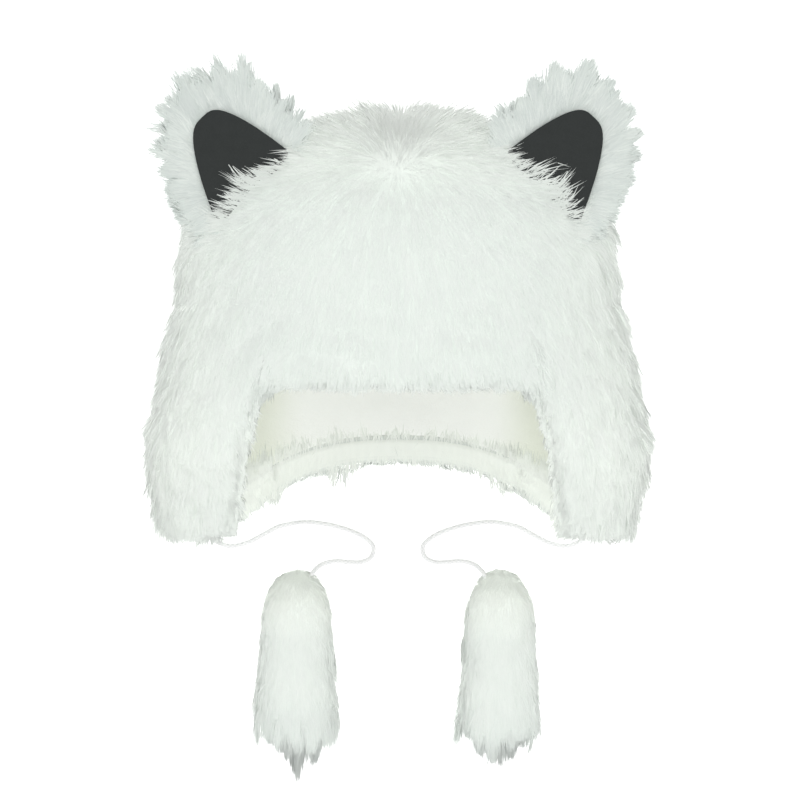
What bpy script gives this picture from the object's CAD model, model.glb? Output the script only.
"""Bear ear hat with ear flaps: its fur, felt, lining, cords and studio, laid out as an add-on."""

import math

import bpy
import numpy as np
from bpy.props import FloatProperty, FloatVectorProperty, IntProperty, PointerProperty
from mathutils import Matrix, Vector


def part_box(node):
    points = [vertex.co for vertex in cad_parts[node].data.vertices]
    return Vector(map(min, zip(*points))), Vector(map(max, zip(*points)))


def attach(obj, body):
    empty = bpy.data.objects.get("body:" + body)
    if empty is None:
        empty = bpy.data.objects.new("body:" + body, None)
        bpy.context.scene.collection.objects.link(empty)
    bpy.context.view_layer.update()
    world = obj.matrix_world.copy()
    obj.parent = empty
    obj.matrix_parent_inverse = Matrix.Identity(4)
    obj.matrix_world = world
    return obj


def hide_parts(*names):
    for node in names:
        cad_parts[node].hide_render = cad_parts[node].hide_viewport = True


bl_info = {
    "name": "Bear Ear Hat",
    "version": (1, 0, 0),
    "blender": (4, 5, 0),
    "location": "View3D > Sidebar > Hat",
    "description": "Fur hat with round ears, ear flaps and fur tassels, laid on its back",
    "category": "Object",
}

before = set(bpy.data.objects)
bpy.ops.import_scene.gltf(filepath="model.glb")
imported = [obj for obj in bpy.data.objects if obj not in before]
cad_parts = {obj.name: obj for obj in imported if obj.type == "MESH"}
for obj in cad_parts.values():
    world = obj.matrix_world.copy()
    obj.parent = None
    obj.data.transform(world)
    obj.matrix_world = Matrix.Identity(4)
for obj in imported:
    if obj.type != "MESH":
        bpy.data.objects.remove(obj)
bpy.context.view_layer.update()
LINING_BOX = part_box("lining")
BODY = "root"
UV_NAME = "OFBake"

# The backing of the hat, in metres. The brow edge is at height 0 and the crown's top at CROWN_TALL.
HEAD_WIDE = 0.258
HEAD_FRONT = 0.060
HEAD_BACK = 0.054
CROWN_TALL = 0.148
DOME_TALL = 0.092
DOME_START = CROWN_TALL - DOME_TALL
FLAP_DROP = 0.088
BROW_Y = LINING_BOX[1][1] - CROWN_TALL

# Roundness of its sections: 2 is an ellipse, more is squarer.
CROWN_CORNER = 2.8
CROWN_CAP = 2.2
FRONT_ROUND = 2.2
BACK_ROUND = 3.0

# Walls and depths of pile.
PILE_SIDE = 0.016
PILE_FRONT = 0.017
PILE_BACK = 0.008
PILE_TOP = 0.014
PRESSED_FLAT = 0.003
LINING_WALL = 0.003
FACING = 0.016
GAP = 0.0004

# Face opening and arched back hem.
FACE_WIDE = 0.176
FACE_FLARE = 0.012
FACE_CORNER = 0.026
FACE_DEEP = 0.084
HEM_DROP = 0.046
HEM_REACH = 0.106
HEM_CURVE = 2.4

# Sections of the backing: along is -1 at the flaps' hem, 0 at the brow, 1 where the dome starts.
SECTIONS = (
    {"along": -1.0, "wide": 0.99, "front": 0.62, "back": 0.62},
    {"along": -0.7, "wide": 1.03, "front": 0.76, "back": 0.78},
    {"along": -0.4, "wide": 1.055, "front": 0.9, "back": 0.92},
    {"along": 0.0, "wide": 1.0, "front": 1.0, "back": 1.0},
    {"along": 0.5, "wide": 0.955, "front": 1.02, "back": 1.0},
    {"along": 1.0, "wide": 0.905, "front": 1.0, "back": 1.0},
)

# Seam between crown and flap, from the face opening out to the side.
FLAP_SEAM = (
    {"across": 0.0, "up": -0.0035},
    {"across": 0.1, "up": 0.014},
    {"across": 0.125, "up": 0.022},
    {"across": 0.211, "up": 0.0264},
)
SEAM_INNER = 0.0757

# Ears and the felt in them.
EAR_SEAT = (0.089, 0.122, 0.097)
EAR_TURN = math.radians(43.7)
EAR_LEAN = math.radians(20)
EAR_WIDE = 0.088
EAR_TALL = 0.067
EAR_TUCK = 0.024
EAR_SLANT = -0.13
EAR_THICK = 0.020
EAR_CUP = 0.006
INNER_THICK = 0.003
INNER_RAISE = 0.0032
FELT_WIDE = 0.059
FELT_NARROWS = 0.27
FELT_TOP = 0.047
FELT_FOOT = 0.006
FELT_CORNER = 3.3
FELT_FOOT_CORNER = 2.5
FELT_DISH = 0.0012

# Tassels.
TASSEL_ACROSS = 0.062
TASSEL_TOP = 0.111
TASSEL_LONG = 0.100
TASSEL_WIDE = 0.051
TASSEL_THICK = 0.034
TASSEL_CROWN = 0.34
TASSEL_FOOT = 0.14

# Route of the left cord; the right one mirrors it.
CORD_ROUTE = (
    (-0.114, -0.079, 0.012),
    (-0.1145, -0.088, 0.0085),
    (-0.112, -0.095, 0.0036),
    (-0.103, -0.0983, 0.0017),
    (-0.0927, -0.0964, 0.0016),
    (-0.083, -0.0915, 0.0016),
    (-0.0736, -0.0866, 0.0016),
    (-0.0635, -0.0843, 0.0016),
    (-0.0534, -0.0838, 0.0016),
    (-0.0374, -0.0864, 0.0016),
    (-0.0221, -0.0922, 0.0016),
    (-0.0153, -0.0985, 0.0016),
    (-0.0164, -0.105, 0.0016),
    (-0.0227, -0.1083, 0.0016),
    (-0.030, -0.1083, 0.0016),
    (-0.0384, -0.1077, 0.0018),
    (-0.0462, -0.1094, 0.004),
    (-0.0518, -0.114, 0.0086),
    (-0.055, -0.1215, 0.0125),
)

# The photograph: its size, where the hat's middle line stands in it and what a pixel measures.
IMAGE_SIZE = 800
MIDDLE_PIXEL = 398
PIXEL = 0.0006
PIXEL_LEVEL = 0.062
VIEW_DROP = 0.0087
SENSOR = 0.036

# The left mirrors the right.
SIDES = ((1, "right"), (-1, "left"))

# Each fur piece has its own stream of random numbers, and each unevenness its own waves.
SEEDS = {
    "crown_front": 11,
    "crown_back": 12,
    "earflap_right": 13,
    "earflap_left": 14,
    "ear_right": 31,
    "ear_left": 32,
    "tassel_right": 41,
    "tassel_left": 42,
}
BUMP_WAVES, RAGGED_WAVES, WISP_WAVES, RIPPLE_WAVES = 3, 5, 6, 21

# The fur's UV map has a row for each tone, dark to light, and its strands run along the rows.
TONE_ROWS = 40
LIGHTEST = 0.999
STRAND_U = {"root": 0.05, "tip": 0.98}
SKIN_U = (0.03, 0.13)

# A strand: its section at the bend, where it bends and how much, and how far its root is sunk.
STRAND_SECTION = ((-0.5, -0.1), (0.5, -0.1), (0.0, 0.3))
BEND_AT = 0.42
BEND_OUT = 0.07
TIP_IN = 0.04
ROOT_SUNK = 0.001
THINNEST, THICKEST = 0.6, 1.25

# How far its shading leans from its own sides to the skin's, and its least height over the surface.
SOFT_SHADING = 0.97
FLOOR_CLEAR = 0.0002
STRAND_THICK = 0.0003

# How strands differ: in lift, length and direction, and in how far they are drawn to their tuft.
UNEVEN_LIFT, LEAST_LIFT, MOST_LIFT = 0.3, 0.04, 1.4
UNEVEN_LENGTH, LEAST_LENGTH, MOST_LENGTH = 0.14, 0.35, 1.7
UNEVEN_WAY = 0.2
UNEVEN_CLUMP, MOST_CLUMP = 0.2, 0.93
UNEVEN_FACING = 0.45
LOOSE_SHARE = 0.05
TUFT_END = 0.15
LEAST_TUFTS = 30
STRANDS_IN_TUFT = 8

# Fur is thin where it lies on the surface.
FLOOR_TOUCH = 0.001
FLOOR_CHANCE = 0.3


class HatSizes(bpy.types.PropertyGroup):
    """Sizes and counts that a user would change."""

    fur_length: FloatProperty(
        name="Fur length", description="Length of a lock on the crown", default=0.017, unit="LENGTH")
    strand_width: FloatProperty(
        name="Strand width", description="Width of a strand at its middle", default=0.00075, unit="LENGTH")
    undercoat: FloatProperty(
        name="Undercoat", description="Share of the pile that is dense undercoat", default=0.6)
    front_undercoat: FloatProperty(
        name="Front undercoat", description="The same share in front, where the fur lies flat", default=0.88)
    crown_front_strands: IntProperty(
        name="Front strands", description="Strands on the front of the crown", default=30000)
    crown_back_strands: IntProperty(
        name="Back strands", description="Strands on the back of the crown", default=19000)
    flap_strands: IntProperty(
        name="Flap strands", description="Strands on each ear flap", default=22000)
    ear_strands: IntProperty(
        name="Ear strands", description="Strands on each ear", default=13500)
    tassel_strands: IntProperty(
        name="Tassel strands", description="Strands on each tassel", default=13000)
    cord_width: FloatProperty(
        name="Cord width", description="Diameter of the cords", default=0.003, unit="LENGTH")
    lens: FloatProperty(
        name="Lens", description="Focal length of the camera in millimetres", default=200.0)


class HatColours(bpy.types.PropertyGroup):
    """Colours of the hat's materials."""

    fur_tip: FloatVectorProperty(
        name="Fur tips", description="Colour of the fur at its tips", subtype="COLOR", size=4,
        default=(0.895, 0.925, 0.876, 1.0))
    fur_root: FloatVectorProperty(
        name="Fur roots", description="Colour of the fur at its roots", subtype="COLOR", size=4,
        default=(0.885, 0.915, 0.866, 1.0))
    felt: FloatVectorProperty(
        name="Felt", description="Colour of the felt in the ears", subtype="COLOR", size=4,
        default=(0.041, 0.045, 0.044, 1.0))
    lining: FloatVectorProperty(
        name="Lining", description="Colour of the lining", subtype="COLOR", size=4,
        default=(0.92, 0.935, 0.912, 1.0))
    cord: FloatVectorProperty(
        name="Cord", description="Colour of the cords", subtype="COLOR", size=4,
        default=(0.9, 0.9, 0.9, 1.0))
    floor: FloatVectorProperty(
        name="Floor", description="Colour of the surface that the hat lies on", subtype="COLOR", size=4,
        default=(0.96, 0.96, 0.96, 1.0))


def sizes():
    return bpy.context.scene.hat_sizes


def colours():
    return bpy.context.scene.hat_colours


# Arithmetic of the forms

def share_at(table, along, column):
    """A column of a section table, eased between its rows."""
    knots = np.array([row["along"] for row in table])
    values = np.array([row[column] for row in table])
    along = np.clip(along, knots[0], knots[-1])
    low = np.clip(np.searchsorted(knots, along, side="right") - 1, 0, len(knots) - 2)
    part = (along - knots[low]) / (knots[low + 1] - knots[low])
    eased = (part + part * part * (3 - 2 * part)) / 2
    return values[low] + (values[low + 1] - values[low]) * eased


def closing(share, bend):
    return np.maximum(0.0, 1 - np.clip(share, 0, 1) ** bend) ** (1 / bend)


def signed_power(value, power):
    return np.sign(value) * np.abs(value) ** power


def along_share(height):
    return np.where(height < 0, height / FLAP_DROP, height / DOME_START)


def fold_level(height):
    return share_at(SECTIONS, along_share(height), "back") * HEAD_BACK + PILE_BACK


def half_width(height):
    """Half the backing's width at a height under the dome."""
    return share_at(SECTIONS, along_share(height), "wide") * HEAD_WIDE / 2


def face_edge(x):
    """Height of the face opening's edge at a distance from the middle."""
    half = FACE_WIDE / 2
    x = np.abs(x)
    over = np.clip((x - half + FACE_CORNER) / FACE_CORNER, 0, 1)
    arch = -FACE_CORNER * (1 - np.sqrt(1 - over ** 2))
    steep = -FACE_CORNER - np.maximum(0, x - half) * FACE_DEEP / FACE_FLARE
    return np.maximum(-FLAP_DROP, np.where(x > half, steep, arch))


def hem_edge(x):
    share = np.clip(np.abs(x) / HEM_REACH, 0, 1)
    return -HEM_DROP - (FLAP_DROP - HEM_DROP) * share ** HEM_CURVE


def edge_distance(x, height, in_front):
    """Distance of a place on the shell from the face opening or the hem, as the camera sees it."""
    x = np.abs(x)
    half = FACE_WIDE / 2
    flare = half + np.maximum(0, -height) * FACE_FLARE / FACE_DEEP
    dx = x - flare
    dy = height
    corner_x = dx + FACE_CORNER
    corner_y = dy + FACE_CORNER
    round_part = np.hypot(np.maximum(corner_x, 0), np.maximum(corner_y, 0)) - FACE_CORNER
    face = np.where((corner_x > 0) & (corner_y > 0), round_part, np.maximum(dx, dy))
    slope = (FLAP_DROP - HEM_DROP) / HEM_REACH * HEM_CURVE * np.clip(x / HEM_REACH, 0, 1) ** (HEM_CURVE - 1)
    hem = (height - hem_edge(x)) / np.sqrt(1 + slope ** 2)
    hem = np.where(x > HEM_REACH, np.hypot(x - HEM_REACH, height + FLAP_DROP), hem)
    return np.where(in_front, face, hem)


def random_stream(seed):
    return np.random.default_rng(seed)


def unit(vectors):
    return vectors / np.maximum(1e-9, np.linalg.norm(vectors, axis=-1, keepdims=True))


def ramp(value, start, reach):
    """Rises from 0 at its start to 1 over its reach."""
    return np.clip((value - start) / reach, 0, 1)


def fading(distance, reach):
    """Falls from 1 at an edge to 0 at a distance from it."""
    return np.clip(1 - distance / reach, 0, 1)


def read_table(table, value):
    """Reads a table of places and measures, with straight lines between its rows."""
    return np.interp(value, list(table), list(table.values()))


def soft_noise(points, scale, seed):
    """A smooth, repeatable unevenness between -1 and 1, from a few crossing waves."""
    rng = random_stream(seed)
    total = np.zeros(len(points))
    for _ in range(6):
        way = unit(rng.normal(size=3))
        turn = rng.uniform(0, 2 * math.pi)
        total += np.sin(points @ way * (2 * math.pi / scale) * rng.uniform(0.7, 1.4) + turn)
    return total / 3.2


# Blender objects

WELD_REACH = 1e-6


def deselect_all():
    bpy.ops.object.select_all(action="DESELECT")


def select(*pieces):
    """Selects these pieces alone and makes the first one active."""
    deselect_all()
    for piece in pieces:
        piece.select_set(True)
    bpy.context.view_layer.objects.active = pieces[0]


def add_piece(name, mesh):
    piece = bpy.data.objects.new(name, mesh)
    bpy.context.collection.objects.link(piece)
    return piece


def active(name):
    piece = bpy.context.object
    piece.name = name
    piece.data.name = name
    return piece


def coordinates(mesh):
    values = np.empty(len(mesh.vertices) * 3)
    mesh.vertices.foreach_get("co", values)
    return values.reshape(-1, 3)


def set_coordinates(mesh, points):
    mesh.vertices.foreach_set("co", np.ascontiguousarray(points, dtype=np.float64).ravel())
    mesh.update()


def weld():
    bpy.ops.object.mode_set(mode="EDIT")
    bpy.ops.mesh.select_all(action="SELECT")
    bpy.ops.mesh.remove_doubles(threshold=WELD_REACH)
    bpy.ops.object.mode_set(mode="OBJECT")


def face_outwards():
    bpy.ops.object.mode_set(mode="EDIT")
    bpy.ops.mesh.select_all(action="SELECT")
    bpy.ops.mesh.normals_make_consistent(inside=False)
    bpy.ops.object.mode_set(mode="OBJECT")


def new_grid(name, across, along):
    """A flat grid of squares, with its two counts of vertices, ready to be wrapped round a form."""
    deselect_all()
    bpy.ops.mesh.primitive_grid_add(x_subdivisions=across - 1, y_subdivisions=along - 1, size=2)
    return active(name)


def grid_places(mesh):
    """For each vertex of a new grid, its two shares from 0 to 1."""
    points = coordinates(mesh)
    return (points[:, 0] + 1) / 2, (points[:, 1] + 1) / 2


def new_ball(name, segments, rings):
    """A round ball whose faces are put in one order, so that the fur grows alike each time."""
    deselect_all()
    bpy.ops.mesh.primitive_uv_sphere_add(segments=segments, ring_count=rings, radius=1)
    ball = active(name)
    points = coordinates(ball.data)
    faces = []
    for polygon in ball.data.polygons:
        corners = list(polygon.vertices)
        start = corners.index(min(corners))
        faces.append(corners[start:] + corners[:start])
    ball.data.clear_geometry()
    ball.data.from_pydata(points, [], sorted(faces))
    return ball


def finish_piece(piece, nodes, material):
    piece.data.materials.clear()
    piece.data.materials.append(material)
    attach(piece, BODY)
    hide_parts(*nodes)


# Fur

BLOCK = 4000
SAMPLE = 800


def strand_mesh(name, root, middle, tip, out, width, tone, normal):
    """One joined mesh of closed, flat strands, pointed at both ends and bent once between them.

    Their shading leans to the normal of the skin below, as fine hair's does."""
    count = len(root)
    rise = unit(tip - root)
    side = unit(np.cross(rise, out))
    face = unit(np.cross(side, rise))
    wide = width[:, None]
    ring = [middle + side * wide * across + face * wide * deep for across, deep in STRAND_SECTION]
    points = np.stack([root, *ring, tip], axis=1)
    least = FLOOR_CLEAR + np.array([0, 0, 0, STRAND_THICK, 0])
    points[..., 2] = np.maximum(points[..., 2], least)
    triangles = np.array([[0, 1, 2], [0, 2, 3], [0, 3, 1], [2, 1, 4], [3, 2, 4], [1, 3, 4]])
    loops = ((np.arange(count) * 5)[:, None, None] + triangles).ravel()
    mesh = bpy.data.meshes.new(name)
    mesh.vertices.add(count * 5)
    mesh.vertices.foreach_set("co", points.ravel())
    mesh.loops.add(loops.size)
    mesh.loops.foreach_set("vertex_index", loops)
    mesh.polygons.add(loops.size // 3)
    mesh.polygons.foreach_set("loop_start", np.arange(0, loops.size, 3))
    mesh.update(calc_edges=True)
    row = np.floor(np.clip(tone, 0, LIGHTEST) * TONE_ROWS)[:, None]
    uv = np.empty((count, 5, 2))
    uv[..., 0] = (STRAND_U["root"], BEND_AT, BEND_AT, BEND_AT, STRAND_U["tip"])
    uv[..., 1] = (row + np.array([0.5, 0.15, 0.85, 0.5, 0.5])) / TONE_ROWS
    layer = mesh.uv_layers.new(name=UV_NAME)
    layer.uv.foreach_set("vector", uv.reshape(-1, 2)[loops].ravel())
    own = np.stack([face, -face * 0.4 - side, -face * 0.4 + side, face, face], axis=1)
    corner = points[:, triangles]
    faced = unit(np.cross(corner[:, :, 1] - corner[:, :, 0], corner[:, :, 2] - corner[:, :, 0]))
    away = np.minimum(0, (faced * normal[:, None, :]).sum(axis=2, keepdims=True))
    soft = normal[:, None, :] - faced * away * 2
    leaning = own[:, triangles] * (1 - SOFT_SHADING) + soft[:, :, None, :] * SOFT_SHADING
    mesh.shade_smooth()
    mesh.normals_split_custom_set(unit(leaning).reshape(-1, 3))
    return add_piece(name, mesh)


def skin_uv(mesh, tone):
    """Lays each face of an undercoat on the root end of the fur's UV map, in its first corner's tone."""
    layer = mesh.uv_layers.new(name=UV_NAME)
    first = np.empty(len(mesh.polygons), dtype=np.int32)
    corners = np.empty(len(mesh.polygons), dtype=np.int32)
    vertex = np.empty(len(mesh.loops), dtype=np.int32)
    mesh.polygons.foreach_get("loop_start", first)
    mesh.polygons.foreach_get("loop_total", corners)
    mesh.loops.foreach_get("vertex_index", vertex)
    tones = np.repeat(np.broadcast_to(tone, len(mesh.vertices))[vertex[first]], corners)
    row = (np.floor(np.clip(tones, 0, LIGHTEST) * TONE_ROWS) + 0.5) / TONE_ROWS
    values = np.empty((len(mesh.loops), 2))
    corner = np.arange(len(mesh.loops)) % 4
    values[:, 0] = np.where((corner == 0) | (corner == 3), *SKIN_U)
    values[:, 1] = row + np.where(corner < 2, -0.3, 0.3) / TONE_ROWS
    layer.uv.foreach_set("vector", values.ravel())


def scatter(mesh, count, chance, rng, layers=None):
    """Random places on a mesh, as points and normals.

    chance(centres, normals, layers) gives each triangle its share; layers holds a mark for each face."""
    mesh.calc_loop_triangles()
    triangles = np.empty(len(mesh.loop_triangles) * 3, dtype=np.int32)
    mesh.loop_triangles.foreach_get("vertices", triangles)
    triangles = triangles.reshape(-1, 3)
    owner = np.empty(len(triangles), dtype=np.int32)
    mesh.loop_triangles.foreach_get("polygon_index", owner)
    marks = np.zeros(len(triangles), dtype=np.int32) if layers is None else layers[owner]
    points = coordinates(mesh)
    corner = points[triangles]
    across = np.cross(corner[:, 1] - corner[:, 0], corner[:, 2] - corner[:, 0])
    weight = np.linalg.norm(across, axis=1) * chance(corner.mean(axis=1), unit(across), marks)
    normals = np.zeros_like(points)
    for column in triangles[weight > 0].T:
        np.add.at(normals, column, across[weight > 0])
    normals = unit(normals)
    pick = rng.choice(len(triangles), size=count, p=weight / weight.sum())
    one = np.sqrt(rng.random(count))
    two = rng.random(count)
    shares = np.stack([1 - one, one * (1 - two), one * two], axis=1)[:, :, None]
    place = (corner[pick] * shares).sum(axis=1)
    normal = unit((normals[triangles[pick]] * shares).sum(axis=1))
    return place, normal


def nearest(points, centres):
    """The nearest centre to each point, worked out in blocks to save memory."""
    best = np.empty(len(points), dtype=np.int64)
    for start in range(0, len(points), BLOCK):
        block = points[start:start + BLOCK]
        gap = ((block[:, None, :] - centres[None, :, :]) ** 2).sum(axis=2)
        best[start:start + BLOCK] = gap.argmin(axis=1)
    return best


def value_at(value, points):
    """A measure that is the same everywhere, or is worked out from each place."""
    return value(points) if callable(value) else value


def grow_fur(name, place, normal, comb, length, lift, tone, rng, tuft=0.007, clump=0.36, wild=0.26,
             shaggy=0.16, mottle=0.025):
    """Combs strands over a surface, drawn together into tufts, and joins them into one mesh.

    comb(points, normals) gives the way the fur lies, length(points) how long it is and
    lift(points, normals) how steeply it stands. Tone says how light it is and mottle how much that
    differs, tuft is the size of a tuft, clump how far its strands draw together, wild how far tufts
    turn aside and shaggy how much they differ in length. Tone and clump may change with the place."""
    count = len(place)
    area = count * 4 * np.median(nearest_gap(place, rng) ** 2)
    tufts = int(np.clip(area / tuft ** 2, LEAST_TUFTS, count / STRANDS_IN_TUFT))
    at = rng.choice(count, size=tufts, replace=False)

    def reach(points, normals, turn, factor):
        way = comb(points, normals)
        strength = np.clip(np.linalg.norm(way, axis=1, keepdims=True), 0, 1)
        way = way - normals * (way * normals).sum(axis=1, keepdims=True)
        way = unit(way + np.cross(normals, way) * turn[:, None]) * strength
        steep = lift(points, normals) * (1 + UNEVEN_LIFT * rng.normal(0, 1, len(points)))
        steep = np.clip(steep, LEAST_LIFT, MOST_LIFT)[:, None]
        stand = np.maximum(np.sin(steep), np.sqrt(np.maximum(0, 1 - strength ** 2)))
        return unit(way * np.cos(steep) + normals * stand) * (length(points) * factor)[:, None]

    tuft_factor = np.exp(rng.normal(0, shaggy, tufts))
    owner = nearest(place, place[at])
    tuft_reach = reach(place[at], normal[at], rng.normal(0, wild, tufts), tuft_factor)
    factor = tuft_factor[owner] * np.exp(rng.normal(0, UNEVEN_LENGTH, count))
    factor = np.clip(factor, LEAST_LENGTH, MOST_LENGTH)
    own_reach = reach(place, normal, rng.normal(0, UNEVEN_WAY, count), factor)
    drawn = (place[at] + tuft_reach)[owner] + (place - place[at][owner]) * TUFT_END
    pull = np.clip(value_at(clump, place) + rng.normal(0, UNEVEN_CLUMP, count), 0, MOST_CLUMP)
    pull = np.where(rng.random(count) < LOOSE_SHARE, 0, pull)[:, None]
    tip = place + own_reach
    tip = tip + (drawn - tip) * pull
    long = np.linalg.norm(tip - place, axis=1, keepdims=True)
    middle = place + (tip - place) * BEND_AT + normal * long * BEND_OUT
    tip = tip - normal * long * TIP_IN
    tones = value_at(tone, place) + rng.normal(0, mottle, count) + rng.normal(0, mottle / 2, tufts)[owner]
    out = unit(normal + UNEVEN_FACING * rng.normal(0, 1, (count, 3)))
    width = sizes().strand_width * rng.uniform(THINNEST, THICKEST, count)
    return strand_mesh(name, place - normal * ROOT_SUNK, middle, tip, out, width, tones, normal)


def nearest_gap(points, rng):
    """Gaps between neighbours among some of the points, scaled to all of them."""
    some = points[rng.choice(len(points), size=min(SAMPLE, len(points)), replace=False)]
    gap = ((some[:, None, :] - some[None, :, :]) ** 2).sum(axis=2)
    np.fill_diagonal(gap, np.inf)
    return np.sqrt(gap.min(axis=1) * len(some) / len(points))


def join_pieces(first, *others):
    select(first, *others)
    bpy.ops.object.join()
    return first


# Panels of the shell

PANEL_COLUMNS = 129
PANEL_ROWS = 49
DOME_SHARE = 0.36
STRAIGHT_BEND = 1.25
EDGE_STEPS = 20
SKIN, BASE, RIM = 0, 1, 2

# Where across the head the layers part towards the folds, and over how much of it.
SPREAD_FROM = 0.82
SPREAD_OVER = 0.13
SPREAD_IN_DOME = 4

# The undercoat thins towards its cut edges, down to its least height over the backing.
EDGE_TAPER = 0.014
FOOT_TAPER = 0.006
EDGE_THICK = 0.0015
LEAST_WALL = 0.001
BUMP = 0.0012
BUMP_SIZE = 0.02

# Where fur grows inside and on the cut rim, and how thickly, against 1 on the outside.
RIM_REACH = 0.004
EDGE_BRUSH = 0.006
INSIDE_FRONT, INSIDE_BACK = 0.15, 1.2
BRUSHED_MORE = 2.5


def panel_grid():
    """Where the shell's grid lies: its share across the head, its cut edge and its climb to the top."""
    probe = new_grid("panel_probe", PANEL_COLUMNS, PANEL_ROWS)
    around, up = grid_places(probe.data)
    bpy.data.objects.remove(probe)
    angle = around * 2 * math.pi
    in_front = np.sin(angle) >= 0
    bend = np.where(in_front, FRONT_ROUND, BACK_ROUND)
    across = signed_power(np.cos(angle), 2 / bend)
    low = np.full_like(angle, -FLAP_DROP)
    high = np.zeros_like(angle)
    for _ in range(EDGE_STEPS):
        middle = (low + high) / 2
        x = half_width(middle) * across
        under = middle < np.where(in_front, face_edge(x), hem_edge(x))
        low = np.where(under, middle, low)
        high = np.where(under, high, middle)
    return {
        "angle": angle,
        "in_front": in_front,
        "bend": bend,
        "across": across,
        "edge": low,
        "up": up,
        "straight": np.clip(up / (1 - DOME_SHARE), 0, 1) ** STRAIGHT_BEND,
        "rise": np.clip((up - 1 + DOME_SHARE) / DOME_SHARE, 0, 1),
    }


def wrap(grid, side, front, back, top):
    """Points and heights of the grid wrapped round the head, offset from the backing.

    Its layers share their places across the head, so cut edges stand square to the camera,
    and spread to their own width at the folds and in the dome."""
    rise = grid["rise"]
    across = grid["across"]
    height = grid["edge"] + (DOME_START - grid["edge"]) * grid["straight"]
    height = np.where(rise > 0, DOME_START + np.sin(rise * math.pi / 2) * (DOME_TALL + top), height)
    closed = (height - DOME_START) / (DOME_TALL + top)
    narrow = closing(closed, CROWN_CORNER)
    half = (half_width(height) + side) * narrow
    along = along_share(height)
    deep = np.where(
        grid["in_front"],
        share_at(SECTIONS, along, "front") * HEAD_FRONT + front,
        -share_at(SECTIONS, along, "back") * HEAD_BACK - back,
    )
    spread = np.clip((np.abs(across) - SPREAD_FROM) / SPREAD_OVER, 0, 1)
    spread = np.maximum(spread ** 2 * (3 - 2 * spread), np.clip(rise * SPREAD_IN_DOME, 0, 1))
    x = across * (half_width(height) + side * spread) * narrow
    share = np.abs(x) / np.maximum(half, 1e-9)
    z = fold_level(height) + deep * closing(closed, CROWN_CAP) * closing(share, grid["bend"])
    return np.stack([x, height + BROW_Y, z], axis=-1), height


def in_flap(points):
    height = points[:, 1] - BROW_Y
    x = np.abs(points[:, 0])
    seam = np.interp(x, [row["across"] for row in FLAP_SEAM], [row["up"] for row in FLAP_SEAM])
    return (height < seam) & (x > SEAM_INNER)


def taper_at(distance, reach):
    share = np.clip(distance / reach, 0, 1)
    return np.sqrt(np.maximum(0, 1 - (1 - share) ** 2))


def make_panel(name, keep):
    """Undercoat of one fur panel: a closed wall over the lining, turned in at the cut edges.

    keep(points, spin) says which faces belong to the panel; spin is above 0 in front."""
    grid = panel_grid()
    core = sizes().undercoat
    flat, height = wrap(grid, GAP, GAP, GAP, GAP)
    distance = edge_distance(flat[:, 0], height, grid["in_front"])
    turned_in = np.minimum(distance, height + FLAP_DROP) < FACING
    inner = np.where(turned_in, -LINING_WALL, GAP)
    base, _ = wrap(grid, inner, inner, inner, inner)
    taper = taper_at(distance, EDGE_TAPER) * taper_at(height + FLAP_DROP, FOOT_TAPER)
    least = -LINING_WALL + EDGE_THICK
    piles = (
        PILE_SIDE * core,
        PILE_FRONT * sizes().front_undercoat,
        PILE_BACK + PRESSED_FLAT,
        PILE_TOP * core,
    )
    skin, _ = wrap(grid, *(least + (pile - least) * taper for pile in piles))
    skin += BUMP * soft_noise(skin, BUMP_SIZE, BUMP_WAVES)[:, None] * unit(skin - base) * taper[:, None]
    skin[:, 2] = np.maximum(skin[:, 2], FLOOR_CLEAR)
    base[:, 2] = np.maximum(base[:, 2], FLOOR_CLEAR + LEAST_WALL)
    return panel_wall(name, base, skin, grid["angle"], keep)


def panel_wall(name, base, skin, angle, keep):
    """Closes the wall between two wrapped grids over the faces that a panel keeps."""
    sheet = new_grid(name, PANEL_COLUMNS, PANEL_ROWS)
    mesh = sheet.data
    faces = np.empty(len(mesh.loops), dtype=np.int32)
    mesh.loops.foreach_get("vertex_index", faces)
    faces = faces.reshape(-1, 4)
    bpy.data.objects.remove(sheet)
    centre = skin[faces].mean(axis=1)
    spin = np.sin(angle[faces].mean(axis=1))
    faces = faces[keep(centre, spin)]
    count = len(base)
    outside = faces + count
    edges = np.concatenate([np.stack([faces[:, i], faces[:, (i + 1) % 4]], axis=1) for i in range(4)])
    first_at = {}
    label = np.empty(count, dtype=np.int64)
    for index, point in enumerate(map(tuple, np.round(base, 6))):
        label[index] = first_at.setdefault(point, index)
    edge_of = {(label[a], label[b]): (a, b) for a, b in edges}
    rim = [edge for (a, b), edge in edge_of.items() if (b, a) not in edge_of and a != b]
    walls = np.array([[b, a, a + count, b + count] for a, b in rim])
    everything = np.concatenate([outside, faces[:, ::-1], walls])
    mesh = bpy.data.meshes.new(name)
    mesh.from_pydata(np.concatenate([base, skin]), [], everything.tolist())
    mark = mesh.attributes.new("layer", "INT", "FACE")
    mark.data.foreach_set("value", np.repeat([SKIN, BASE, RIM], [len(faces), len(faces), len(rim)]))
    mesh.update()
    piece = add_piece(name, mesh)
    select(piece)
    weld()
    face_outwards()
    piece.data.shade_smooth()
    return piece


def take_layers(mesh):
    """Which layer of its panel each face belongs to; the mark itself is taken off the mesh."""
    mark = mesh.attributes["layer"]
    layers = np.empty(len(mesh.polygons), dtype=np.int32)
    mark.data.foreach_get("value", layers)
    mesh.attributes.remove(mark)
    return layers


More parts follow.
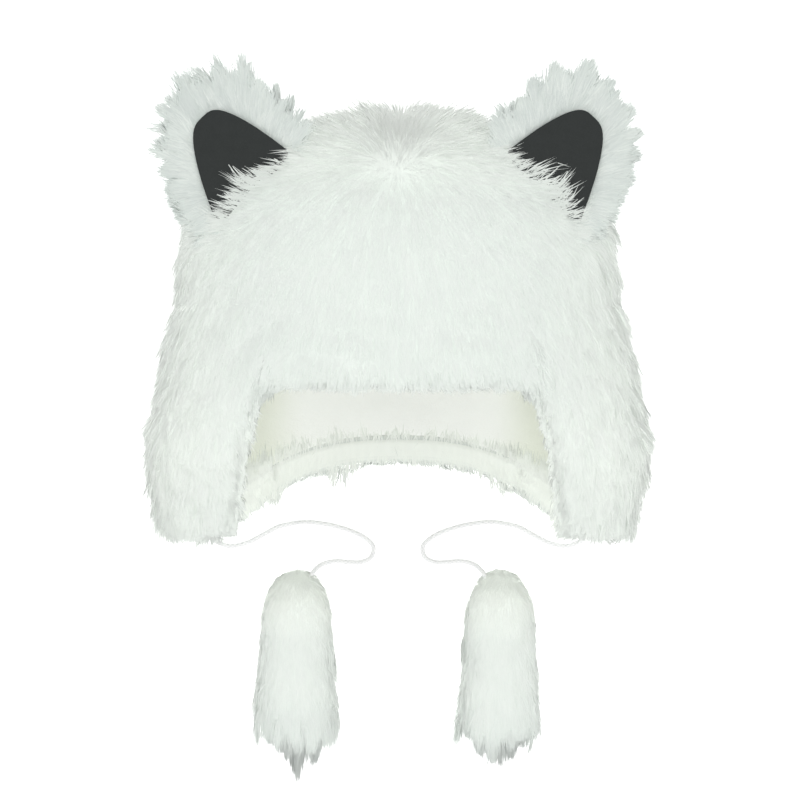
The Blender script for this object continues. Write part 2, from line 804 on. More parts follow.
def panel_chance(centre, normal, layer):
    """Fur grows on a panel's skin, on its cut rim and, inside, on its turned-in band."""
    height = centre[:, 1] - BROW_Y
    in_front = centre[:, 2] > fold_level(height)
    distance = np.minimum(edge_distance(centre[:, 0], height, in_front), height + FLAP_DROP)
    inside = np.where(in_front, INSIDE_FRONT, INSIDE_BACK) * (distance < FACING)
    inside *= np.where(distance > FACING - EDGE_BRUSH, BRUSHED_MORE, 1.0)
    share = np.choose(layer, [np.ones(len(centre)), inside, (distance < RIM_REACH).astype(float)])
    return share * np.where(centre[:, 2] < FLOOR_TOUCH, FLOOR_CHANCE, 1.0)


# How the shell's fur is combed: out of a whorl near the top, down from it, a little aside, and
# inwards at the sides of the face opening.
WHORL = (0.0, 0.138)
WHORL_REACH = 0.02
WHORL_LEAST = 0.2
COMB_OUT = 0.8
COMB_DOWN = {"share": 1.2, "reach": 0.1}
COMB_ASIDE = {"share": 0.5, "reach": 0.13}
COMB_INWARDS = {"share": 0.8, "edge": 0.02, "from": 0.07, "over": 0.015, "drop": 0.01}

# Where it is brushed up over the seat of an ear: past the seat, down from it, to each side, and
# from what level.
BRUSH = {"past": 0.004, "down": 0.024, "half": 0.042, "fade": 0.012, "level": 0.085}
BRUSH_RISE = 0.1
INSIDE_FACING = 0.3


def comb_shell(points, normals):
    """Fur lies away from the whorl, down at the sides, and up over the ears' seats and the lining's edge."""
    x = points[:, 0]
    across = x - WHORL[0]
    height = points[:, 1] - BROW_Y
    up = height - WHORL[1]
    level = np.zeros(len(points))
    out = np.hypot(across, up)
    way = unit(np.stack([across * COMB_OUT, up, level], axis=1)) * ramp(out, 0, WHORL_REACH)[:, None]
    down = ramp(-up, 0, COMB_DOWN["reach"])[:, None] * np.array([0.0, -COMB_DOWN["share"], 0.0])
    aside = np.stack([COMB_ASIDE["share"] * across / COMB_ASIDE["reach"], level, level], axis=1)
    way = unit(way + down + aside) * np.clip(out / WHORL_REACH, WHORL_LEAST, 1)[:, None]
    near_face = fading(edge_distance(x, height, True), COMB_INWARDS["edge"]) * (normals[:, 2] > 0)
    inwards = ramp(np.abs(x), COMB_INWARDS["from"], COMB_INWARDS["over"])
    inwards *= ramp(-height, 0, COMB_INWARDS["drop"])
    way[:, 0] -= np.sign(x) * near_face * inwards * COMB_INWARDS["share"]
    for side in (-1, 1):
        over = np.array([side * math.sin(EAR_TURN), math.cos(EAR_TURN), BRUSH_RISE])
        brush = ear_brush(points, side)[:, None]
        way = way * (1 - brush) + over * brush
    return np.where(on_lining_edge(points, normals)[:, None], (0.0, 1.0, 0.0), way)


def on_lining_edge(points, normals):
    """True for the fur of the turned-in hem that is brushed up over the lining's edge."""
    height = points[:, 1] - BROW_Y
    inside = (points[:, 2] < fold_level(height)) & (normals[:, 2] > INSIDE_FACING)
    return inside & (edge_distance(points[:, 0], height, False) > FACING - EDGE_BRUSH)


def ear_brush(points, side):
    """How far the crown's fur is brushed up over the seat of an ear, from 0 to 1."""
    local = to_local(ear_frame(side), points)
    near = np.clip(1 + (local[:, 1] + BRUSH["past"]) / BRUSH["down"], 0, 1) * (local[:, 1] < BRUSH["past"])
    between = np.clip((BRUSH["half"] - np.abs(local[:, 0])) / BRUSH["fade"], 0, 1)
    return near * between * (points[:, 2] > BRUSH["level"])


# The length of the shell's fur, as shares of its full length: by the distance from an edge, over
# the flaps' foot, at the top and at the level of the surface.
LENGTH_AT_EDGE = {0.0: 0.4, 0.02: 1.0}
LENGTH_AT_FOOT = {-FLAP_DROP: 0.7, -FLAP_DROP + 0.02: 1.0}
LENGTH_AT_TOP = {0.1: 1.0, 0.15: 0.62}
LENGTH_ON_FLOOR = {0.0: 0.75, 0.03: 1.0}

# Where it is longer: on the crest, at the cheeks, in wisps over the ears' seats and in the hem.
CREST = {"more": 0.8, "half": 0.042, "from": 0.12, "reach": 0.03}
CHEEK = {"more": 0.3, "up": 0.055, "half": 0.025, "from": 0.09, "reach": 0.02}
WISPS = {"more": 1.2, "less": 0.3, "size": 0.006}
RAGGED = {"more": 1.3, "size": 0.03, "reach": 0.01}


def shell_length(points):
    height = points[:, 1] - BROW_Y
    x = np.abs(points[:, 0])
    in_front = points[:, 2] > fold_level(height)
    distance = edge_distance(points[:, 0], height, in_front)
    base = np.full(len(points), sizes().fur_length)
    base *= read_table(LENGTH_AT_EDGE, distance)
    base *= read_table(LENGTH_AT_FOOT, height)
    base *= read_table(LENGTH_AT_TOP, height)
    crest = np.exp(-(x / CREST["half"]) ** 4) * ramp(height, CREST["from"], CREST["reach"])
    base *= 1 + CREST["more"] * crest
    cheek = np.exp(-((height - CHEEK["up"]) / CHEEK["half"]) ** 2)
    base *= 1 + CHEEK["more"] * cheek * ramp(x, CHEEK["from"], CHEEK["reach"])
    wisps = np.clip(soft_noise(points, WISPS["size"], WISP_WAVES), 0, 1)
    brushed = ear_brush(points, 1) + ear_brush(points, -1)
    base *= 1 + (WISPS["more"] * wisps - WISPS["less"]) * brushed
    ragged = np.clip(soft_noise(points, RAGGED["size"], RAGGED_WAVES), 0, 1) ** 2
    base *= 1 + RAGGED["more"] * ragged * fading(distance, RAGGED["reach"]) * ~in_front
    return np.where(in_front, base, base * read_table(LENGTH_ON_FLOOR, points[:, 2]))


# How steeply it stands, in radians: by its height, and more at an edge, on the top and where it
# is brushed up over the lining. It lies flat where the hat faces forward.
LIFT_BY_HEIGHT = {-0.05: 0.42, 0.0: 0.38, 0.05: 0.3}
LIFT_FLAT = 0.1
FLAT_BY_FACING = {0.35: 0.0, 0.9: 1.0}
LIFT_AT_EDGE = {0.0: 0.12, 0.02: 0.0}
LIFT_AT_TOP = {0.12: 0.0, 0.15: 0.3}
LIFT_OVER_LINING = 0.35
LOW_LEVEL, LOW_LIFT = 0.012, 0.6


def shell_lift(points, normals):
    height = points[:, 1] - BROW_Y
    distance = edge_distance(points[:, 0], height, points[:, 2] > fold_level(height))
    steep = read_table(LIFT_BY_HEIGHT, height)
    steep += (LIFT_FLAT - steep) * read_table(FLAT_BY_FACING, normals[:, 2])
    steep += read_table(LIFT_AT_EDGE, distance)
    steep += read_table(LIFT_AT_TOP, height)
    steep += LIFT_OVER_LINING * on_lining_edge(points, normals)
    return steep * np.where(points[:, 2] < LOW_LEVEL, LOW_LIFT, 1.0)


# How light it is: by its height, more at the sides and at the face opening, and most where it is
# turned in at the hem.
TONE_BY_HEIGHT = {-0.07: 0.39, -0.045: 0.46, 0.0: 0.42, 0.03: 0.41, 0.11: 0.42, 0.15: 0.68}
TONE_BY_SIDE = {0.08: 0.0, 0.12: 0.19}
TONE_AT_FACE = {"more": 0.1, "reach": 0.005}
TONE_IN_HEM = {"tone": 0.98, "less": 0.6, "reach": 0.004}


def shell_tone(points):
    height = points[:, 1] - BROW_Y
    level = fold_level(height)
    tone = read_table(TONE_BY_HEIGHT, height)
    tone += read_table(TONE_BY_SIDE, np.abs(points[:, 0]))
    face = fading(edge_distance(points[:, 0], height, True), TONE_AT_FACE["reach"])
    tone += TONE_AT_FACE["more"] * face * (points[:, 2] > level)
    hem = edge_distance(points[:, 0], height, False)
    turned_in = (hem < FACING) & (points[:, 2] < level)
    hem_tone = TONE_IN_HEM["tone"] - TONE_IN_HEM["less"] * fading(hem, TONE_IN_HEM["reach"])
    return np.where(turned_in, hem_tone, tone)


def fur_panel(node, keep, strands):
    """One fur panel of the shell: its undercoat and the strands that grow on it."""
    panel = make_panel(node + "_fur", keep)
    rng = random_stream(SEEDS[node])
    place, normal = scatter(panel.data, strands, panel_chance, rng, take_layers(panel.data))
    skin_uv(panel.data, shell_tone(coordinates(panel.data)))
    grown = grow_fur(
        panel.name + "_strands", place, normal, comb_shell, shell_length, shell_lift, shell_tone, rng)
    finish_fur(join_pieces(panel, grown), node)


def ear_frame(side):
    """The ear's own frame: across its seat, out to its tip and out of its face."""
    base = Vector((math.cos(EAR_TURN), -math.sin(EAR_TURN), 0))
    out = Vector((math.sin(EAR_TURN), math.cos(EAR_TURN), 0)) * math.cos(EAR_LEAN)
    out.z = -math.sin(EAR_LEAN)
    face = base.cross(out)
    seat = Vector((EAR_SEAT[0], EAR_SEAT[1] + BROW_Y, EAR_SEAT[2]))
    matrix = Matrix.Identity(4)
    for column, vector in enumerate((base, out, face, seat)):
        matrix[0][column] = side * vector[0]
        matrix[1][column] = vector[1]
        matrix[2][column] = vector[2]
    return matrix


# How full the crown's fur is where the ears meet it, as a share of its pile.
PILE_AT_EARS = 0.6


def crown_depth(points):
    """How deep a point lies inside the crown's fur, as a share: 1 is on its surface, less is inside."""
    height = points[:, 1] - BROW_Y
    rise = np.clip((height - DOME_START) / (DOME_TALL + PILE_TOP * PILE_AT_EARS), 0, 1.2)
    half = half_width(height) + PILE_SIDE * PILE_AT_EARS
    in_front = points[:, 2] > fold_level(height)
    deep = np.where(in_front, HEAD_FRONT + PILE_FRONT * PILE_AT_EARS, HEAD_BACK + PILE_BACK)
    wide = half * closing(rise, CROWN_CORNER) + 1e-6
    tall = deep * closing(rise, CROWN_CAP) + 1e-6
    bend = np.where(in_front, FRONT_ROUND, BACK_ROUND)
    x = np.abs(points[:, 0] / wide)
    z = np.abs((points[:, 2] - fold_level(height)) / tall)
    return (x ** bend + z ** bend) ** (1 / bend) + np.where(rise >= 1, 10, 0)


def turn_of(matrix):
    return np.array(matrix.to_3x3())


def to_world(matrix, points):
    return points @ turn_of(matrix).T + np.array(matrix.translation)


def to_local(matrix, points):
    return (points - np.array(matrix.translation)) @ turn_of(matrix)


# Materials

# The colour that fur is mixed towards as its tone falls, and other shades that go with the user's colours.
DIM_FUR = (0.40, 0.45, 0.445, 1.0)
LINING_SHADOW = (0.70, 0.71, 0.60, 1.0)
LINING_CORNER = (0.66, 0.70, 0.55, 1.0)
BRAID_SHADOW = (0.78, 0.79, 0.79, 1.0)
FELT_SHADOW = 0.55
CORNER_FROM, CORNER_TO, CORNER_SHARE = 0.055, 0.085, 0.5


def new_material(name):
    """A material, its node tree and its shader."""
    material = bpy.data.materials.new(name)
    material.use_nodes = True
    return material, material.node_tree, material.node_tree.nodes["Principled BSDF"]


def feed(tree, socket, value):
    """Links a socket to the output it is given, or sets its value."""
    if isinstance(value, bpy.types.NodeSocket):
        tree.links.new(value, socket)
    else:
        socket.default_value = value


def feed_all(tree, node, values):
    for name, value in values.items():
        feed(tree, node.inputs[name], value)
    return node.outputs


def place_group(tree, group, values):
    """Places a node group, with its own values, and gives its outputs."""
    node = tree.nodes.new("ShaderNodeGroup")
    node.node_tree = group
    return feed_all(tree, node, values)


def bump(tree, height, strength, distance):
    node = tree.nodes.new("ShaderNodeBump")
    return feed_all(tree, node, {"Height": height, "Strength": strength, "Distance": distance})["Normal"]


def own_uv(tree):
    node = tree.nodes.new("ShaderNodeUVMap")
    node.uv_map = UV_NAME
    return node.outputs["UV"]


def split_vector(tree, vector):
    return feed_all(tree, tree.nodes.new("ShaderNodeSeparateXYZ"), {"Vector": vector})


def group_with(name, inputs, outputs):
    """A node group with named sockets, and its input and output nodes."""
    group = bpy.data.node_groups.new(name, "ShaderNodeTree")
    for socket, kind, value in inputs:
        made = group.interface.new_socket(name=socket, in_out="INPUT", socket_type=kind)
        if value is not None:
            made.default_value = value
    for socket, kind in outputs:
        group.interface.new_socket(name=socket, in_out="OUTPUT", socket_type=kind)
    start = group.nodes.new("NodeGroupInput")
    end = group.nodes.new("NodeGroupOutput")
    return group, start.outputs, end


def math_node(tree, operation, *values, clamp=False):
    node = tree.nodes.new("ShaderNodeMath")
    node.operation = operation
    node.use_clamp = clamp
    for socket, value in zip(node.inputs, values):
        feed(tree, socket, value)
    return node.outputs[0]


def mix_colour(tree, factor, first, second):
    node = tree.nodes.new("ShaderNodeMix")
    node.data_type = "RGBA"
    for index, value in ((0, factor), (6, first), (7, second)):
        feed(tree, node.inputs[index], value)
    return node.outputs[2]


def fur_shade_group():
    """Shade of a strand: root to tip along U, and its tone and its finer hairs across V."""
    group, given, end = group_with(
        "FurShade",
        (
            ("UV", "NodeSocketVector", None),
            ("Root", "NodeSocketColor", (0.8, 0.8, 0.8, 1)),
            ("Tip", "NodeSocketColor", (0.95, 0.95, 0.95, 1)),
            ("Rows", "NodeSocketFloat", float(TONE_ROWS)),
            ("Tone Depth", "NodeSocketFloat", 0.25),
        ),
        (("Color", "NodeSocketColor"), ("Roughness", "NodeSocketFloat"), ("Height", "NodeSocketFloat")),
    )
    split = split_vector(group, given["UV"])
    along = split["X"]
    row = split["Y"]
    waves = math_node(group, "MULTIPLY", given["Rows"], 6 * math.pi)
    hairs = math_node(group, "SINE", math_node(group, "MULTIPLY", row, waves))
    hairs = math_node(group, "MULTIPLY_ADD", hairs, 0.5, 0.5)
    rise = math_node(group, "POWER", math_node(group, "MULTIPLY_ADD", along, 1.25, -0.12, clamp=True), 0.7)
    shade = mix_colour(group, rise, given["Root"], given["Tip"])
    dim = math_node(group, "MULTIPLY", math_node(group, "SUBTRACT", 1.0, row), given["Tone Depth"])
    dim = math_node(group, "MULTIPLY_ADD", hairs, 0.03, dim, clamp=True)
    feed_all(group, end, {
        "Color": mix_colour(group, dim, shade, DIM_FUR),
        "Roughness": math_node(group, "MULTIPLY_ADD", hairs, 0.12, 0.74),
        "Height": hairs,
    })
    return group


def fur_material():
    material, tree, shader = new_material("white_fur")
    shade = place_group(tree, fur_shade_group(), {
        "UV": own_uv(tree),
        "Root": colours().fur_root,
        "Tip": colours().fur_tip,
        "Tone Depth": 0.6,
    })
    feed_all(tree, shader, {
        "Base Color": shade["Color"],
        "Roughness": shade["Roughness"],
        "Normal": bump(tree, shade["Height"], 0.15, 0.0002),
        "Sheen Weight": 0.1,
        "Sheen Roughness": 0.5,
        "Specular IOR Level": 0.1,
    })
    return material


def nap_group():
    """A cloth's nap: fine fibres over soft patches, in the piece's own coordinates."""
    group, given, end = group_with(
        "ClothNap",
        (
            ("Vector", "NodeSocketVector", None),
            ("Color", "NodeSocketColor", (0.5, 0.5, 0.5, 1)),
            ("Shadow", "NodeSocketColor", (0.3, 0.3, 0.3, 1)),
            ("Fibre", "NodeSocketFloat", 900.0),
            ("Patch", "NodeSocketFloat", 40.0),
            ("Depth", "NodeSocketFloat", 0.4),
        ),
        (("Color", "NodeSocketColor"), ("Roughness", "NodeSocketFloat"), ("Height", "NodeSocketFloat")),
    )
    fibre = feed_all(group, group.nodes.new("ShaderNodeTexNoise"), {
        "Vector": given["Vector"], "Scale": given["Fibre"], "Detail": 4.0, "Distortion": 0.6})["Fac"]
    patch = feed_all(group, group.nodes.new("ShaderNodeTexNoise"), {
        "Vector": given["Vector"], "Scale": given["Patch"], "Detail": 2.0})["Fac"]
    height = math_node(group, "MULTIPLY_ADD", patch, 0.5, fibre)
    dark = math_node(group, "SUBTRACT", 1.25, height, clamp=True)
    dark = math_node(group, "MULTIPLY", dark, given["Depth"])
    feed_all(group, end, {
        "Color": mix_colour(group, dark, given["Color"], given["Shadow"]),
        "Roughness": math_node(group, "MULTIPLY_ADD", fibre, 0.15, 0.8),
        "Height": height,
    })
    return group


def cloth(tree, shader, nap, strength, distance, specular):
    """Gives a shader a cloth's roughness and bump, and hands back its colour and the place it reads."""
    place = tree.nodes.new("ShaderNodeTexCoord").outputs["Object"]
    group = bpy.data.node_groups.get("ClothNap") or nap_group()
    made = place_group(tree, group, {"Vector": place, **nap})
    feed_all(tree, shader, {
        "Roughness": made["Roughness"],
        "Normal": bump(tree, made["Height"], strength, distance),
        "Specular IOR Level": specular,
    })
    return made["Color"], place


def felt_material():
    material, tree, shader = new_material("dark_felt")
    felt = colours().felt
    shadow = (*(value * FELT_SHADOW for value in felt[:3]), 1.0)
    nap = {"Color": felt, "Shadow": shadow, "Fibre": 1400.0, "Patch": 160.0, "Depth": 0.6}
    colour, _ = cloth(tree, shader, nap, 0.2, 0.0003, 0.0)
    feed(tree, shader.inputs["Base Color"], colour)
    return material


def lining_material():
    """Short plush, with a deeper shade in the corners of the face opening."""
    material, tree, shader = new_material("cream_lining")
    nap = {"Color": colours().lining, "Shadow": LINING_SHADOW, "Fibre": 700.0, "Patch": 35.0, "Depth": 0.12}
    colour, place = cloth(tree, shader, nap, 0.35, 0.0005, 0.2)
    corner = tree.nodes.new("ShaderNodeMapRange")
    corner.interpolation_type = "SMOOTHSTEP"
    aside = math_node(tree, "ABSOLUTE", split_vector(tree, place)["X"])
    share = feed_all(tree, corner, {
        "Value": aside, "From Min": CORNER_FROM, "From Max": CORNER_TO, "To Max": CORNER_SHARE})["Result"]
    feed(tree, shader.inputs["Base Color"], mix_colour(tree, share, colour, LINING_CORNER))
    return material


def braid_group():
    """A round braid: crossing strands over a cord's own UV map, U round it and V along it."""
    group, given, end = group_with(
        "Braid",
        (
            ("UV", "NodeSocketVector", None),
            ("Round", "NodeSocketFloat", 4.0),
            ("Along", "NodeSocketFloat", 60.0),
        ),
        (("Mask", "NodeSocketFloat"), ("Height", "NodeSocketFloat")),
    )
    split = split_vector(group, given["UV"])
    turn = math_node(group, "MULTIPLY", split["X"], given["Round"])
    run = math_node(group, "MULTIPLY", split["Y"], given["Along"])
    right, left = (
        math_node(group, "SINE", math_node(group, "MULTIPLY", math_node(group, way, turn, run), 2 * math.pi))
        for way in ("ADD", "SUBTRACT"))
    height = math_node(group, "MAXIMUM", right, left)
    mask = math_node(group, "MULTIPLY_ADD", height, 0.5, 0.5, clamp=True)
    feed_all(group, end, {"Mask": mask, "Height": height})
    return group


def cord_material():
    material, tree, shader = new_material("white_cord")
    braid = place_group(tree, braid_group(), {"UV": own_uv(tree)})
    feed_all(tree, shader, {
        "Base Color": mix_colour(tree, braid["Mask"], BRAID_SHADOW, colours().cord),
        "Normal": bump(tree, braid["Height"], 0.6, 0.0003),
        "Roughness": 0.75,
    })
    return material


def shared(name, make):
    return bpy.data.materials.get(name) or make()


def finish_fur(piece, node):
    """Fine white hair lets light through, so the fur casts no shade."""
    finish_piece(piece, [node], shared("white_fur", fur_material))
    piece.visible_shadow = False


# Operators

# Shallow folds in the lining.
RIPPLE = 0.0011
RIPPLE_SIZE = 0.045


class HAT_OT_lining(bpy.types.Operator):
    """Make the smooth lining, a wall open at the face and the hem"""

    bl_idname = "hat.lining"
    bl_label = "Lining"

    def execute(self, context):
        grid = panel_grid()
        grid["edge"] = np.minimum(grid["edge"] + FACING, DOME_START)
        inner, _ = wrap(grid, -LINING_WALL, -LINING_WALL, -LINING_WALL, -LINING_WALL)
        outer, _ = wrap(grid, 0.0, 0.0, 0.0, 0.0)
        ripple = RIPPLE * soft_noise(inner, RIPPLE_SIZE, RIPPLE_WAVES) * np.clip(grid["up"] * 6, 0, 1)
        inner = inner + unit(outer - inner) * np.minimum(0, ripple)[:, None]
        piece = panel_wall(
            "lining_cloth", inner, outer, grid["angle"], lambda centre, spin: np.full(len(centre), True))
        take_layers(piece.data)
        layer = piece.data.uv_layers.new(name=UV_NAME)
        points = coordinates(piece.data)
        loop_vertex = np.empty(len(piece.data.loops), dtype=np.int32)
        piece.data.loops.foreach_get("vertex_index", loop_vertex)
        level = fold_level(points[:, 1] - BROW_Y)
        turn = np.arctan2(points[:, 2] - level, points[:, 0]) / (2 * math.pi) + 0.5
        climb = (points[:, 1] - BROW_Y + FLAP_DROP) / (CROWN_TALL + FLAP_DROP)
        uv = np.stack([turn, climb * 0.98 + 0.01], axis=1)[loop_vertex]
        layer.uv.foreach_set("vector", uv.ravel())
        finish_piece(piece, ["lining"], shared("cream_lining", lining_material))
        return {"FINISHED"}


class HAT_OT_crown(bpy.types.Operator):
    """Make the front and the back of the crown in fur"""

    bl_idname = "hat.crown"
    bl_label = "Crown fur"

    def execute(self, context):
        fur_panel(
            "crown_front", lambda centre, spin: (spin > 0) & ~in_flap(centre), sizes().crown_front_strands)
        fur_panel(
            "crown_back", lambda centre, spin: (spin <= 0) & ~in_flap(centre), sizes().crown_back_strands)
        return {"FINISHED"}


class HAT_OT_flaps(bpy.types.Operator):
    """Make the two ear flaps in fur"""

    bl_idname = "hat.flaps"
    bl_label = "Ear flaps"

    def execute(self, context):
        for side, name in SIDES:
            fur_panel(
                "earflap_" + name, lambda centre, spin: (side * centre[:, 0] > 0) & in_flap(centre),
                sizes().flap_strands)
        return {"FINISHED"}


# An ear's undercoat is less than the ear, with its foot drawn up where it would reach into the crown.
EAR_CORE = {"wide": 0.012, "tall": 0.006, "thick": 0.006}
EAR_DRAWN = {"depth": 0.86, "over": 0.2, "up": 0.01}

# Its fur: where it grows, how long it is over the ear and on the rim, with the rim's two peaks.
EAR_CLEAR = 0.97
EAR_FACE = 0.15
FACE_CHANCE = 1.6
CHANCE_BY_REACH = {0.0: 0.6, 1.0: 2.0}
FELT_MARGIN = 0.001
EAR_FUR = {"length": 0.010, "tip": 0.0085, "rim": 0.004, "peak": 0.007}
EAR_PEAKS = (
    {"more": 1.2, "turn": -0.7, "wide": 0.1},
    {"more": 0.15, "turn": -0.41, "wide": 0.08},
)
EAR_COMB = {"aside": 1.3, "up": 0.012}
EAR_LIFT = 0.24
CLUMP_BY_REACH = {0.6: 0.3, 0.9: 0.7}
EAR_TONE = 0.17


def pad_points(ball, wide, tall, tuck, thick, cup):
    """Shapes a ball into an ear: tall over its seat, slanted inwards and dished in front."""
    x, y, z = ball.T
    rim = np.minimum(1, np.hypot(x, y))
    dish = np.where(z > 0, cup * (1 - rim ** 2), 0)
    height = y * np.where(y > 0, tall, tuck)
    return np.stack([x * wide / 2 + EAR_SLANT * height, height, z * thick / 2 - dish], axis=1)


def felt_half(height):
    """Half the felt's width at a height over the ear's seat."""
    over = height + FELT_FOOT
    wide = FELT_WIDE / 2 - FELT_NARROWS * over
    top = closing(over / (FELT_TOP + FELT_FOOT), FELT_CORNER)
    foot = closing(-over / FELT_FOOT, FELT_FOOT_CORNER)
    return wide * np.where(over > 0, top, foot)


def ear_reach(place):
    """How far out a place in the ear's own frame lies: 0 at its seat's middle, 1 at its rim."""
    return np.hypot(place[:, 0] / (EAR_WIDE / 2), place[:, 1] / EAR_TALL)


class HAT_OT_ears(bpy.types.Operator):
    """Make the two round ears in fur"""

    bl_idname = "hat.ears"
    bl_label = "Ears"

    def execute(self, context):
        for side, name in SIDES:
            self.make_ear(ear_frame(side), "ear_" + name)
        return {"FINISHED"}

    def make_ear(self, matrix, node):
        ear = new_ball(node + "_fur", 48, 24)
        local = pad_points(
            coordinates(ear.data), EAR_WIDE - EAR_CORE["wide"], EAR_TALL - EAR_CORE["tall"], EAR_TUCK,
            EAR_THICK - EAR_CORE["thick"], EAR_CUP)
        drawn = np.clip((EAR_DRAWN["depth"] - crown_depth(to_world(matrix, local))) / EAR_DRAWN["over"], 0, 1)
        local[:, 1] += drawn * EAR_DRAWN["up"]
        set_coordinates(ear.data, to_world(matrix, local))
        face_outwards()
        ear.data.shade_smooth()

        def chance(centre, normal, layer):
            place = to_local(matrix, centre)
            facing_out = (normal @ turn_of(matrix))[:, 2]
            clear = crown_depth(centre) > EAR_CLEAR
            across = np.abs(place[:, 0] - EAR_SLANT * place[:, 1])
            on_felt = (across < felt_half(place[:, 1]) - FELT_MARGIN) & (place[:, 1] < FELT_TOP - FELT_MARGIN)
            front = np.where(on_felt, 0.0, FACE_CHANCE)
            share = np.where(facing_out > EAR_FACE, front, 1.0)
            return clear * share * read_table(CHANCE_BY_REACH, ear_reach(place))

        def length(points):
            place = to_local(matrix, points)
            reach = ear_reach(place)
            tip = np.clip(place[:, 1] / EAR_TALL, 0, 1)
            turn = np.arctan2(place[:, 0], place[:, 1])
            peaks = sum(
                peak["more"] * np.exp(-((turn - peak["turn"]) / peak["wide"]) ** 2) for peak in EAR_PEAKS)
            rim = np.clip(reach - 0.5, 0, 0.5) * 2
            over = EAR_FUR["length"] + EAR_FUR["tip"] * tip * np.clip(reach, 0, 1)
            return over + rim * (EAR_FUR["rim"] + EAR_FUR["peak"] * peaks)

        def comb(points, normals):
            place = to_local(matrix, points)
            up = place[:, 1] + EAR_COMB["up"]
            way = np.stack([place[:, 0] * EAR_COMB["aside"], up, np.zeros(len(place))], axis=1)
            return unit(way) @ turn_of(matrix).T

        def lift(points, normals):
            return np.full(len(points), EAR_LIFT)

        def clump(points):
            return read_table(CLUMP_BY_REACH, ear_reach(to_local(matrix, points)))

        rng = random_stream(SEEDS[node])
        place, normal = scatter(ear.data, sizes().ear_strands, chance, rng)
        grown = grow_fur(
            "ear_strands", place, normal, comb, length, lift, EAR_TONE, rng,
            tuft=0.006, clump=clump, shaggy=0.2, mottle=0.1)
        skin_uv(ear.data, EAR_TONE)
        finish_fur(join_pieces(ear, grown), node)


class HAT_OT_inner_ears(bpy.types.Operator):
    """Make the dark felt in the face of each ear"""

    bl_idname = "hat.inner_ears"
    bl_label = "Inner ears"

    def execute(self, context):
        for side, name in SIDES:
            node = "inner_ear_" + name
            felt = new_ball(node + "_felt", 64, 32)
            x, y, z = coordinates(felt.data).T
            height = y * np.where(y > 0, FELT_TOP, FELT_FOOT * 2)
            share = x / np.sqrt(np.maximum(1e-9, 1 - y ** 2))
            rim = np.hypot(x, y)
            middle = EAR_THICK / 2 - EAR_CUP - INNER_THICK / 2 + INNER_RAISE
            local = np.stack([
                EAR_SLANT * height + share * felt_half(height),
                height,
                z * INNER_THICK / 2 + middle - FELT_DISH * (1 - rim ** 2),
            ], axis=1)
            matrix = ear_frame(side)
            set_coordinates(felt.data, to_world(matrix, local))
            face_outwards()
            felt.data.shade_smooth()
            flat_uv(felt.data, matrix)
            finish_piece(felt, [node], shared("dark_felt", felt_material))
        return {"FINISHED"}


def flat_uv(mesh, matrix):
    """Lays a thin pad's front and back side by side on its UV map."""
    layer = mesh.uv_layers.new(name=UV_NAME)
    local = to_local(matrix, coordinates(mesh))
    low = local.min(axis=0)
    span = (local.max(axis=0) - low).max()
    flat = (local[:, :2] - low[:2]) / span * 0.48 + 0.01
    values = np.empty((len(mesh.loops), 2))
    for polygon in mesh.polygons:
        facing = np.array(polygon.normal) @ turn_of(matrix)
        shift = 0.0 if facing[2] > 0 else 0.5
        for index in polygon.loop_indices:
            values[index] = flat[mesh.loops[index].vertex_index] + (shift, 0)
    layer.uv.foreach_set("vector", values.ravel())


# A cord's facets: steps between two of its route's points, and sides round it.
CORD_STEPS = 8
CORD_SIDES = 12


class HAT_OT_cords(bpy.types.Operator):
    """Make the two round cords"""

    bl_idname = "hat.cords"
    bl_label = "Cords"

    def execute(self, context):
        for side, name in ((-1, "left"), (1, "right")):
            route = [Vector((-side * x, y + BROW_Y, z)) for x, y, z in CORD_ROUTE]
            path = smooth_route(route, CORD_STEPS)
            piece = tube_along("cord_" + name + "_braid", path, sizes().cord_width / 2, CORD_SIDES)
            finish_piece(piece, ["cord_" + name], shared("white_cord", cord_material))
        return {"FINISHED"}


def smooth_route(points, steps):
    """A smooth curve through a route's points, by centripetal arcs."""
    padded = [points[0] * 2 - points[1], *points, points[-1] * 2 - points[-2]]
    path = []
    for a, b, c, d in zip(padded, padded[1:], padded[2:], padded[3:]):
        knots = [0.0]
        for first, second in ((a, b), (b, c), (c, d)):
            knots.append(knots[-1] + math.sqrt((second - first).length))
        for step in range(steps):
            t = knots[1] + (knots[2] - knots[1]) * step / steps
            one = a.lerp(b, (t - knots[0]) / (knots[1] - knots[0]))
            two = b.lerp(c, (t - knots[1]) / (knots[2] - knots[1]))
            three = c.lerp(d, (t - knots[2]) / (knots[3] - knots[2]))
            early = one.lerp(two, (t - knots[0]) / (knots[2] - knots[0]))
            late = two.lerp(three, (t - knots[1]) / (knots[3] - knots[1]))
            path.append(early.lerp(late, (t - knots[1]) / (knots[2] - knots[1])))
    path.append(points[-1])
    return path


